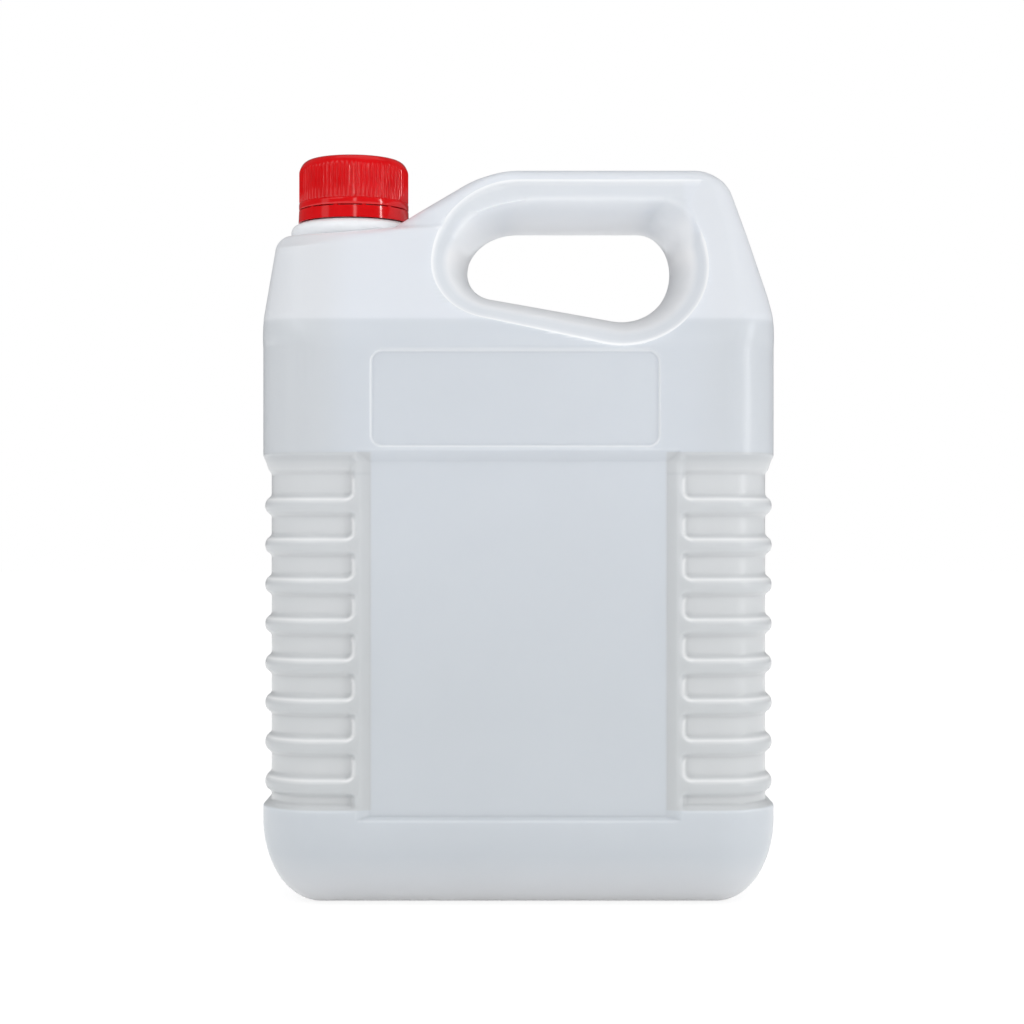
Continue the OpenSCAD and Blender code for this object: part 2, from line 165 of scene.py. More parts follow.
def cut_away(piece: bpy.types.Object, cutter: bpy.types.Object) -> None:
    """Subtracts the cutter from the piece and removes the cutter.

    Args:
        piece: Closed piece that is cut.
        cutter: Closed form of what goes.
    """
    modifier = piece.modifiers.new("cut", "BOOLEAN")
    modifier.operation = "DIFFERENCE"
    modifier.solver = "EXACT"
    modifier.object = cutter
    graph = bpy.context.evaluated_depsgraph_get()
    result = bpy.data.meshes.new_from_object(piece.evaluated_get(graph))
    piece.modifiers.clear()
    old = piece.data
    piece.data = result
    bpy.data.meshes.remove(old)
    bpy.data.objects.remove(cutter)


def read(source: bpy.types.bpy_prop_collection, name: str, kind: type, width: int = 1) -> np.ndarray:
    """Reads one property of every item of a mesh.

    Args:
        source: Vertices, faces, loops or an attribute's data.
        name: Name of the property.
        kind: Number type of the array.
        width: Numbers for each item.

    Returns:
        The numbers in one row.
    """
    values = np.empty(len(source) * width, dtype=kind)
    source.foreach_get(name, values)
    return values


def shade_by_angle(piece: bpy.types.Object, degrees: float) -> None:
    """Shades a piece smooth except across edges sharper than the angle.

    Args:
        piece: Piece to shade.
        degrees: Largest turn between two faces that still looks smooth.
    """
    piece.data.polygons.foreach_set("use_smooth", np.ones(len(piece.data.polygons), dtype=bool))
    piece.data.set_sharp_from_angle(angle=math.radians(degrees))


def settle(piece: bpy.types.Object, body: Body, material: bpy.types.Material, node: str) -> None:
    """Gives a finished piece its material and its body, and hides the node it stands for.

    Args:
        piece: Finished piece.
        body: Body that it moves with.
        material: Material to show.
        node: CAD node that it takes the place of.
    """
    piece.data.materials.clear()
    piece.data.materials.append(material)
    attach(piece, body.value)
    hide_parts(node)
    LOG.info("%s: %d faces on %s", piece.name, len(piece.data.polygons), body.value)


@dataclass(frozen=True)
class JugForm:
    """Sizes of the moulded jug in millimetres, and the curves that follow from them."""

    width: float = 190.0
    depth: float = 128.0
    corner_r: float = 22.0
    foot_round_w: float = 21.0
    foot_round_h: float = 31.0
    foot_h: float = 36.0
    heel_h: float = 2.5
    heel_in: float = 34.0
    rib_count: int = 8
    rib_pitch: float = 14.6
    rib_h: float = 6.5
    rib_proud: float = 2.4
    groove_d: float = 3.1
    foot_groove_h: float = 5.4
    ledge_h: float = 7.2
    band_h: float = 39.6
    face_lean: float = 40.0
    face_bend_r: float = 20.0
    neck_side_lean: float = 4.5
    grip_side_lean: float = 13.0
    side_bend_r: float = 100.0
    shoulder_rise: float = 45.0
    shoulder_r: float = 6.0
    shoulder_fall: float = 3.3
    shoulder_sweep: float = 5.0
    grip_rise: float = 73.5
    crown_r: float = 15.0
    ramp_angle: float = 34.5
    ramp_r: float = 41.0
    grip_corner_r: float = 14.0
    neck_x: float = -64.7
    ramp_x: float = -48.1

    @property
    def rib_low(self) -> float:
        """Height of the middle of the lowest rib."""
        return self.foot_h + self.foot_groove_h + self.rib_h / 2

    @property
    def ledge_z(self) -> float:
        """Height at which the ledge over the top groove starts."""
        return self.rib_low + self.rib_count * self.rib_pitch - self.rib_h / 2

    @property
    def band_z(self) -> float:
        """Height at which the plain band starts."""
        return self.ledge_z + self.ledge_h

    @property
    def bend_z(self) -> float:
        """Height at which the faces start to lean."""
        return self.band_z + self.band_h

    @property
    def shoulder_z(self) -> float:
        """Height of the outer edge of the shoulder."""
        return self.bend_z + self.shoulder_rise

    @property
    def ramp_z(self) -> float:
        """Height at which the ramp to the grip starts."""
        return self.shoulder_z + self.shoulder_fall

    @property
    def grip_z(self) -> float:
        """Height of the top of the grip."""
        return self.bend_z + self.grip_rise

    @property
    def ramp_end(self) -> tuple[float, float]:
        """Width and height at which the ramp bends over into the grip."""
        z = self.grip_z - self.ramp_r * (1 - math.cos(math.radians(self.ramp_angle)))
        return self.ramp_x + (z - self.ramp_z) / math.tan(math.radians(self.ramp_angle)), z

    @property
    def grip_x(self) -> float:
        """Width at which the flat top of the grip starts."""
        return self.ramp_end[0] + self.ramp_r * math.sin(math.radians(self.ramp_angle))

    def lean_in(self, z: np.ndarray, radius: float, lean: float) -> np.ndarray:
        """Inset of a wall that is upright, then an arc, then straight at its lean.

        Args:
            z: Heights.
            radius: Radius of the arc.
            lean: Final angle to the upright, in degrees.

        Returns:
            Distance inwards from the upright wall at each height.
        """
        angle = math.radians(lean)
        h = z - self.bend_z
        arc = radius - np.sqrt(radius**2 - np.clip(h, 0, radius * math.sin(angle)) ** 2)
        straight = np.maximum(h - radius * math.sin(angle), 0) * math.tan(angle)
        return arc + straight

    def crowned(self, z: np.ndarray, upright: float, bend: tuple[float, float], radius: float) -> np.ndarray:
        """A leaning wall that rounds over into the top of the grip.

        Args:
            z: Heights.
            upright: Distance of the upright wall from the middle.
            bend: Radius of the bend and the lean in degrees.
            radius: Radius of the round edge at the top.

        Returns:
            Distance of the wall from the middle at each height.
        """
        angle = math.radians(bend[1])
        touch = self.grip_z - radius * (1 - math.sin(angle))
        start = upright - float(self.lean_in(np.array(touch), *bend))
        arc = np.sqrt(np.maximum(radius**2 - (z - self.grip_z + radius) ** 2, 0))
        return np.where(z <= touch, upright - self.lean_in(z, *bend), start - radius * math.cos(angle) + arc)

    def left_x(self, z: np.ndarray) -> np.ndarray:
        """Side of the neck: leaning wall, rounded shoulder edge, shoulder, ramp and bend.

        Args:
            z: Heights.

        Returns:
            Where that side stands at each height.
        """
        wall = self.lean_in(z, self.side_bend_r, self.neck_side_lean) - self.width / 2
        edge_z = self.shoulder_z - self.shoulder_r
        edge_x = float(self.lean_in(np.array(edge_z), self.side_bend_r, self.neck_side_lean))
        edge_x += self.shoulder_r - self.width / 2
        edge = edge_x - np.sqrt(np.maximum(self.shoulder_r**2 - (z - edge_z) ** 2, 0))
        shoulder = edge_x + (z - self.shoulder_z) / self.shoulder_fall * (self.ramp_x - edge_x)
        ramp = self.ramp_x + (z - self.ramp_z) / math.tan(math.radians(self.ramp_angle))
        bend = self.grip_x - np.sqrt(np.maximum(self.ramp_r**2 - (z - self.grip_z + self.ramp_r) ** 2, 0))
        steps = [z <= edge_z, z <= self.shoulder_z, z <= self.ramp_z, z <= self.ramp_end[1]]
        return np.select(steps, [wall, edge, shoulder, ramp], bend)

    def right_x(self, z: np.ndarray) -> np.ndarray:
        """Where the grip's side stands at each height: leaning wall and rounded outer corner."""
        return self.crowned(z, self.width / 2, (self.side_bend_r, self.grip_side_lean), self.grip_corner_r)

    def face_y(self, z: np.ndarray) -> np.ndarray:
        """Distance of the faces from the middle: upright, bend, straight lean and the crown of the grip."""
        return self.crowned(z, self.depth / 2, (self.face_bend_r, self.face_lean), self.crown_r)

    def plan_r(self, z: np.ndarray) -> np.ndarray:
        """Corner radius in plan, which tightens up the slope in straight steps.

        Args:
            z: Heights.

        Returns:
            The radius at each height.
        """
        levels = [self.bend_z, self.bend_z + 12, self.shoulder_z, self.grip_z]
        radii = [self.corner_r, 0.68 * self.corner_r, 0.4 * self.corner_r, 0.36 * self.corner_r]
        return np.minimum(np.interp(z, levels, radii), 0.8 * self.face_y(z))

    def sweep(self, z: np.ndarray) -> np.ndarray:
        """How much longer the corners on the neck's side are, which rounds the shoulder's long edges.

        Args:
            z: Heights.

        Returns:
            Length of the corner over its depth at each height.
        """
        r = self.shoulder_r
        levels = [self.shoulder_z - r, self.shoulder_z, self.ramp_z, self.ramp_z + r]
        return np.interp(z, levels, [1.0, self.shoulder_sweep, 0.4 + 0.6 * self.shoulder_sweep, 1.0])


@dataclass(frozen=True)
class Relief:
    """Depths pressed into the upright walls: grooves, label panel and the small plate, and the light and
    shade painted on them.
    """

    form: JugForm
    groove_end: float = 60.0
    end_slope: float = 3.0
    low_r: float = 3.0
    high_r: float = 1.2
    label_half: float = 54.0
    label_side: float = 5.0
    label_low: float = 34.0
    label_foot: float = 1.6
    label_brow: float = 4.0
    brow_drop: float = 2.4
    label_d: float = 1.9
    strip_d: float = 0.6
    plate_w: float = 104.5
    plate_h: float = 34.6
    plate_x: float = -1.2
    plate_r: float = 4.0
    plate_d: float = 0.6
    plate_gap: float = 2.0
    plate_edge: float = 0.5
    line_w: float = 0.75
    line_up: float = 2.3
    line_top: float = 3.4
    line_r: float = 3.0

    def from_rib(self, z: np.ndarray) -> np.ndarray:
        """Finds the nearest rib.

        Args:
            z: Heights.

        Returns:
            Height over the middle of that rib, negative below it.
        """
        f = self.form
        k = np.clip(np.round((z - f.rib_low) / f.rib_pitch), 0, f.rib_count - 1)
        return z - f.rib_low - k * f.rib_pitch

    def ribbed(self, z: np.ndarray) -> np.ndarray:
        """True from the foot up to the plain band."""
        return (z > self.form.foot_h) & (z < self.form.band_z + 1)

    def groove(self, z: np.ndarray) -> np.ndarray:
        """Depth of the ribbed wall: a flat floor with half-ellipse ribs, eased out at both ends.

        Past four fifths of its half height a rib leaves the ellipse and runs out on the floor
        along a parabola, 0.6 times the square of the share that is left.

        Args:
            z: Heights.

        Returns:
            Depth below the plain band at each height.
        """
        f = self.form
        across = np.abs(self.from_rib(z)) / (f.rib_h / 2)
        run_out = 0.6 * np.clip((1.35 - across) / 0.55, 0, 1) ** 2
        ellipse = np.sqrt(1 - np.minimum(across, 0.8) ** 2)
        ribs = f.groove_d - f.rib_proud * np.where(across < 0.8, ellipse, run_out)
        foot = smooth((z - f.foot_h + 0.3) / (0.5 * f.foot_groove_h))
        ledge = np.interp((z - f.ledge_z) / f.ledge_h, [0, 0.1, 0.25, 0.76, 1], [1, 0.935, 0.68, 0.26, 0])
        return np.where(z > f.ledge_z, f.groove_d * ledge, ribs * foot)

    def groove_reach(self, x: np.ndarray, z: np.ndarray) -> np.ndarray:
        """How much of the groove's depth is reached, from 0 between the grooves to 1 in them.

        The end of a groove steps back near its top and bottom by a quarter circle, which
        rounds its corners, the lower ones more.

        Args:
            x: Places across the front.
            z: Heights.

        Returns:
            The share of the depth.
        """
        f = self.form
        above = self.from_rib(z)
        radius = np.where(above > 0, self.low_r, self.high_r)
        short = 1 - np.clip((np.abs(above) - 0.4 * f.rib_h) / radius, 0, 1)
        back = radius * (1 - np.sqrt(1 - short**2))
        back = np.where(z > f.ledge_z, 0, back)
        return smooth((np.abs(x) - self.groove_end - back + self.end_slope / 2) / self.end_slope)

    def past_plate(self, x: np.ndarray, z: np.ndarray) -> np.ndarray:
        """Distance from the outline of the small plate, a rounded rectangle, negative inside it.

        Args:
            x: Places across the front.
            z: Heights.

        Returns:
            The distance at each place.
        """
        middle = self.form.bend_z - self.plate_gap - self.plate_h / 2
        dx = np.abs(x - self.plate_x) - self.plate_w / 2 + self.plate_r
        dz = np.abs(z - middle) - self.plate_h / 2 + self.plate_r
        return box_gap(dx, dz, self.plate_r)

    def painted_highlight(self, x: np.ndarray, z: np.ndarray) -> np.ndarray:
        """How strongly highlights are painted along the thin edges of the upright walls.

        Each groove is a window with rounded corners, open towards the side. A highlight is painted
        along its lower edge and fades up the end of the groove and along the upper edge. The small
        plate has a painted highlight round its outline. Across a line the painted highlight falls off
        as exp(-d^2). The groove floors are painted lighter too, which lifts the shade in them.

        Args:
            x: Places across the front.
            z: Heights.

        Returns:
            Strength of the painted highlight from 0 to 1 at each place.
        """
        f = self.form
        k = np.clip(np.floor((z - f.rib_low) / f.rib_pitch), 0, f.rib_count - 1)
        low = f.rib_low + k * f.rib_pitch + self.line_up
        next_rib = low - self.line_up + f.rib_pitch - self.line_top
        high = np.where(k > f.rib_count - 1.5, f.ledge_z + 0.3, next_rib)
        dx = self.groove_end + self.line_r - np.abs(x)
        down, up = low + self.line_r - z, z - high + self.line_r
        out = box_gap(dx, np.maximum(down, up), self.line_r)
        weight = np.where(down > up, 0.5, np.where(up > 1.5, 0.25, 0.5))
        # Painted highlight along the edges of each groove.
        window = weight * np.exp(-((out / self.line_w) ** 2)) * ((z > f.rib_low) & (z < f.ledge_z + 1.6))
        # Painted highlight round the small plate.
        plate = np.exp(-((self.past_plate(x, z) / (0.6 * self.line_w)) ** 2))
        # Painted light on the groove floors, lifting the shade in them.
        floor = 0.18 * np.clip(self.groove(z) / 2, 0, 1) * self.groove_reach(x, z)
        return np.maximum(np.maximum(window, 0.36 * plate), floor)

    def shade(self, x: np.ndarray, z: np.ndarray) -> np.ndarray:
        """How strongly shade is painted on the brow over the grooves, on a thin line below it and towards the
        corners.

        Args:
            x: Places across the front.
            z: Heights.

        Returns:
            Strength of the painted shade from 0 to 1 at each place.
        """
        f = self.form
        brow = f.band_z - self.brow_drop
        # Painted shade on the sloping brow, on a thin line below it and towards the corners.
        slope = smooth((z - brow + 0.6) / 1.2) * smooth((brow + self.label_brow + 0.4 - z) / 1.6)
        line = np.exp(-(((z - f.ledge_z - 0.2) / 0.5) ** 2))
        corner = np.where(self.ribbed(z), 0.25, 0.04) * smooth((np.abs(x) - f.width / 2 + 20) / 18)
        return np.maximum(0.3 * slope, 0.45 * line) * (np.abs(x) > self.label_half) + corner

    def painted_side_shade(self, x: np.ndarray, z: np.ndarray) -> np.ndarray:
        """How strongly a less blue tone with painted shade is laid on: fully on the ribbed sides, less at the
        other corners.

        Args:
            x: Places across the front.
            z: Heights.

        Returns:
            Share from 0 to 1 at each place, 0 on the flat faces.
        """
        f = self.form
        # A less blue tone with painted shade, strongest on the ribbed sides and growing towards the corners.
        ribbed = self.ribbed(z)
        edge = np.where(ribbed, self.label_half - 1.0, f.width / 2 - f.corner_r - 14.0)
        share = np.where(ribbed, 1.0, np.where(x < 0, 0.6, 0.3) * (z > f.foot_h))
        return share * smooth((np.abs(x) - edge) / np.where(ribbed, 1.2, 16.0))

    def plate(self, x: np.ndarray, z: np.ndarray) -> np.ndarray:
        """Depth of the small plate, which falls off over its edge."""
        return self.plate_d * smooth(0.5 - self.past_plate(x, z) / self.plate_edge)

    def panel(self, x: np.ndarray, z: np.ndarray) -> np.ndarray:
        """Depth of the label panel and of the narrow strips beside it.

        Args:
            x: Places across the front.
            z: Heights.

        Returns:
            Depth at each place.
        """
        f = self.form
        brow = f.band_z - self.brow_drop
        sides = (self.label_half + self.label_side - np.abs(x)) / self.label_side
        low = (z - self.label_low + self.label_foot) / self.label_foot
        high = (brow + self.label_brow - z) / self.label_brow
        label = self.label_d * np.clip(np.minimum(np.minimum(sides, low), high), 0, 1)
        strip = self.strip_d * smooth((z - f.foot_h) / 1.2) * smooth((brow + 0.8 - z) / 1.2)
        strip = np.where(np.abs(x) < self.groove_end + self.end_slope + self.low_r, strip, 0)
        return np.maximum(label, strip)

    def front(self, x: np.ndarray, z: np.ndarray) -> np.ndarray:
        """Depth on the front and back faces: the deepest of the panel, the plate and the grooves.

        Args:
            x: Places across the face.
            z: Heights.

        Returns:
            Depth at each place.
        """
        base = np.maximum(self.panel(x, z), self.plate(x, z))
        reach = self.groove_reach(x, z)
        return base + reach * (np.maximum(self.groove(z), base * (1 - reach)) - base)


@dataclass(frozen=True)
class FingerHole:
    """Slanted finger hole: narrow in the middle plane, a deep flare, then a shallow band up to a crease."""

    form: JugForm
    rise: float = 33.4
    left: float = -20.0
    right: float = 59.9
    top: float = 15.3
    right_w: float = 12.9
    left_w: float = 19.2
    left_r: float = 11.7
    right_r: float = 20.1
    flare_left: float = 12.3
    flare_right: float = 10.8
    flare_low: float = 13.0
    fold_top: float = 26.9
    fold_left_w: float = 43.0
    crease_top: float = 35.0
    crease_left_w: float = 32.7
    crease_end_x: float = 75.0
    band_sunk: float = 0.8
    rim_w: float = 1.3
    rim_r: float = 1.2
    rim_short: float = 8.0
    rim_past: float = 1.6
    longest: float = 1.6
    flare_turn: float = 65.0
    arc_steps: int = 30
    flare_steps: int = 14
    rim_steps: int = 4

    def arcs(self, right: tuple[float, ...], left: tuple[float, ...]) -> np.ndarray:
        """Closed outline of four arcs about the widest level.

        Two quarter ellipses make the top, and two circles with a common lower tangent make
        the bottom.

        Args:
            right: Outermost x, width of the upper arc, its height, and the radius of the lower arc.
            left: The same on the side of the neck.

        Returns:
            Points x, z about the widest level, anticlockwise as the front shows them.
        """
        n = self.arc_steps
        right_x, right_w, right_top, right_r = right
        left_x, left_w, left_top, left_r = left
        slant = math.asin((right_r - left_r) / (right_x - right_r - left_x - left_r))
        half_pi = math.pi / 2

        def arc(start: float, end: float, centre: float, rx: float, rz: float) -> np.ndarray:
            """Arc of an ellipse about a centre on the widest level."""
            a = np.linspace(start, end, n + 1)
            return np.stack([centre + rx * np.cos(a), rz * np.sin(a)], axis=-1)

        return np.concatenate([
            arc(0, half_pi, right_x - right_w, right_w, right_top),
            arc(half_pi, math.pi, left_x + left_w, left_w, left_top),
            arc(math.pi, 3 * half_pi - slant, left_x + left_r, left_r, left_r)[1:],
            arc(3 * half_pi - slant, 2 * math.pi, right_x - right_r, right_r, right_r)[:-1]])

    def outlines(self) -> tuple[np.ndarray, np.ndarray, np.ndarray]:
        """Outlines of the narrow middle, of the fold inside the band and of the crease on the face.

        The crease leaves the fold near the outer side, bulges out to the end of the grip's top
        line and then follows that line.

        Returns:
            Three outlines with the same number of points.
        """
        throat = self.arcs((self.right, self.right_w, self.top, self.right_r),
                           (self.left, self.left_w, self.top, self.left_r))
        wide = self.right_w + 0.2 * self.flare_right
        right = (self.right + self.flare_right, wide, self.fold_top, self.right_r + self.flare_low)
        left_x, left_r = self.left - self.flare_left, self.left_r + self.flare_left - 0.7
        fold = self.arcs(right, (left_x, self.fold_left_w, self.fold_top, left_r))
        crease = self.arcs(right, (left_x, self.crease_left_w, self.crease_top, left_r))
        share = np.linspace(0, 1, self.arc_steps + 1)
        top, n = self.crease_top, self.arc_steps + 1
        x = np.interp(share, [0.34, 0.7, 1], [crease[n // 3, 0], self.crease_end_x, right[0] - wide])
        z = np.interp(share, [0.34, 0.7, 1], [crease[n // 3, 1], top, top])
        bulge = smooth((share - 0.34) / 0.3)
        crease[:n, 0] += bulge * (np.maximum(x, crease[:n, 0]) - crease[:n, 0])
        crease[:n, 1] += bulge * (np.maximum(z, crease[:n, 1]) - crease[:n, 1])
        return throat, fold, crease

    def spread(self, outline: np.ndarray, spacing: float) -> np.ndarray:
        """Adds points on the straight stretches, so that no step is longer than the spacing.

        Args:
            outline: Closed outline, points by 2.
            spacing: Longest step.

        Returns:
            For each new point, its position along the outline in steps of the old one.
        """
        length = np.linalg.norm(np.roll(outline, -1, axis=0) - outline, axis=1)
        parts = np.maximum(np.ceil(length / spacing).astype(int), 1)
        return np.concatenate([i + np.arange(p) / p for i, p in enumerate(parts)])

    def lean_normal(self, z: np.ndarray) -> np.ndarray:
        """Outward normal of the front face at each height, from its slope."""
        lean = (self.form.face_y(z + 0.05) - self.form.face_y(z - 0.05)) / 0.1
        return unit(np.stack([np.zeros_like(z), -np.ones_like(z), -lean], axis=-1))

    def rim(self, fold: np.ndarray, crease: np.ndarray, over: np.ndarray) -> list[np.ndarray]:
        """Strip that rises from the band to the crease and rounds over into the face.

        Args:
            fold: Ring at the inner edge of the band.
            crease: Places x, z of the crease.
            over: Position along the outline, in arcs.

        Returns:
            Rings from the foot of the strip out past the face.
        """
        face = self.lean_normal(crease[:, 1])
        lift = 0.9 * np.interp(over, [0, 0.3, 0.42, 0.62, 0.74, 4.2], [0, 0, 1, 1, 0, 0])
        share = np.interp(over, [0, 0.7, 0.85, 1.0, 1.1, 1.75, 4.2], [0, 0, 0.5, 0.6, 1, 0, 0])
        small = 1 - 0.85 * np.interp(over, [0, 0.2, 0.3, 0.5, 0.64, 4.2], [0, 0, 1, 1, 0, 0])[:, None]
        top = np.stack([crease[:, 0], -self.form.face_y(crease[:, 1]), crease[:, 1]], axis=-1)
        top = top + lift[:, None] * face
        back = fold - top
        width = np.linalg.norm(back, axis=1, keepdims=True)
        foot = top + back / width * np.minimum(self.rim_w * small, 0.6 * width)
        foot = foot - self.band_sunk * share[:, None] * self.lean_normal(foot[:, 2])
        along = unit(np.roll(top, -1, axis=0) - np.roll(top, 1, axis=0))
        outward = top - foot
        outward = unit(outward - dot(outward, along) * along)
        into_face = np.cross(face, along)
        into_face = unit(into_face * np.sign(dot(into_face, outward)))
        cosine = np.clip(dot(outward, into_face), -1, 1)
        bend = np.maximum(np.arccos(cosine), math.radians(self.rim_short + 6))
        side = unit(into_face - cosine * outward)
        radius = self.rim_r * small
        centre = top - radius * np.tan(bend / 2) * outward + side * radius
        last = bend - math.radians(self.rim_short)
        rounding = [centre + radius * (outward * np.sin(last * s) - side * np.cos(last * s))
                    for s in np.linspace(0, 1, self.rim_steps + 1)]
        past = rounding[-1] + (side * np.sin(last) + outward * np.cos(last)) * self.rim_past * small
        far = past.copy()
        far[:, 1] = -(self.form.depth / 2 + 12)
        return [foot, *rounding, past, far]

    def rings(self) -> tuple[np.ndarray, np.ndarray]:
        """Rings of the cutter from the back of the jug to its front.

        From the middle to the fold the outline grows with 1 - cos(a) while the depth grows with
        sin(a). From the fold a shallow band runs out to the crease. Where the crease leaves the
        fold the rim is lifted clear of the face, so only the fold shows there.

        Returns:
            Points in millimetres, shaped rings by points by 3, and the zone of each strip
            between two rings: 1 for the deep flare, 2 for the shallow band, 3 for the rim.
        """
        f = self.form
        hole_z = f.bend_z + self.rise
        outlines = self.outlines()
        at = self.spread(outlines[2], self.longest)
        step = np.floor(at).astype(int)
        share = (at - step)[:, None]
        following = (step + 1) % len(outlines[2])
        throat, fold, crease = (o[step] * (1 - share) + o[following] * share for o in outlines)
        over = at / (self.arc_steps + 1)
        reach = np.interp(over, [0, 0.17, 0.5, 1, 1.45, 1.7, 4.2], [0.62, 0.62, 0.97, 0.98, 0.95, 0.62, 0.62])
        top = np.interp(over, [0, 0.66, 0.9, 1.1, 1.75, 4.2], [0, 0, 1, 1, 0, 0])
        turn = math.radians(self.flare_turn)
        angle = np.arccos(1 - reach * (1 - math.cos(turn)))
        flat_fold = throat + reach[:, None] * (fold - throat)
        flare_y = np.sin(angle) / math.sin(turn) * f.face_y(hole_z + fold[:, 1])
        fold_y = flare_y + top * (f.face_y(hole_z + flat_fold[:, 1]) - self.band_sunk * 1.2 - flare_y)

        def deep(s: float) -> np.ndarray:
            """One ring between the middle and the fold.

            Args:
                s: Share of the turn from the middle, at 0, to the fold, at 1.

            Returns:
                Points in millimetres.
            """
            grow = (1 - np.cos(angle * s)) / (1 - np.cos(angle))
            x, z = (throat + grow[:, None] * (flat_fold - throat)).T
            return np.stack([x, -fold_y * np.sin(angle * s) / np.sin(angle), hole_z + z], axis=-1)

        fold_ring = deep(1.0)
        rim = self.rim(fold_ring, crease + np.array([0, hole_z]), over)
        band = [fold_ring + s * (rim[0] - fold_ring) for s in (0.33, 0.67)]
        front = [deep(s) for s in np.linspace(0, 1, self.flare_steps)] + band + rim
        strips = [1.0] * (self.flare_steps - 1) + [2.0] * 3 + [3.0] * (self.rim_steps + 1) + [2.0] * 2
        mirrored = [ring * np.array([1, -1, 1]) for ring in front[:0:-1]]
        return np.stack(mirrored + front), np.array(strips[::-1] + strips)

    def cutter(self) -> bpy.types.Object:
        """Makes the form that the finger hole takes out of the shell.

        Returns:
            The closed cutter, whose faces carry their zone from 1 to 3.
        """
        rings, strips = self.rings()
        cutter = make_mesh("finger_hole_cutter", rings, True)
        values = np.ones(len(cutter.data.polygons), dtype=np.float32)
        values[:strips.size * rings.shape[1]] = np.repeat(strips, rings.shape[1])
        zone = cutter.data.attributes.new("zone", "FLOAT", "FACE")
        zone.data.foreach_set("value", values)
        return cutter


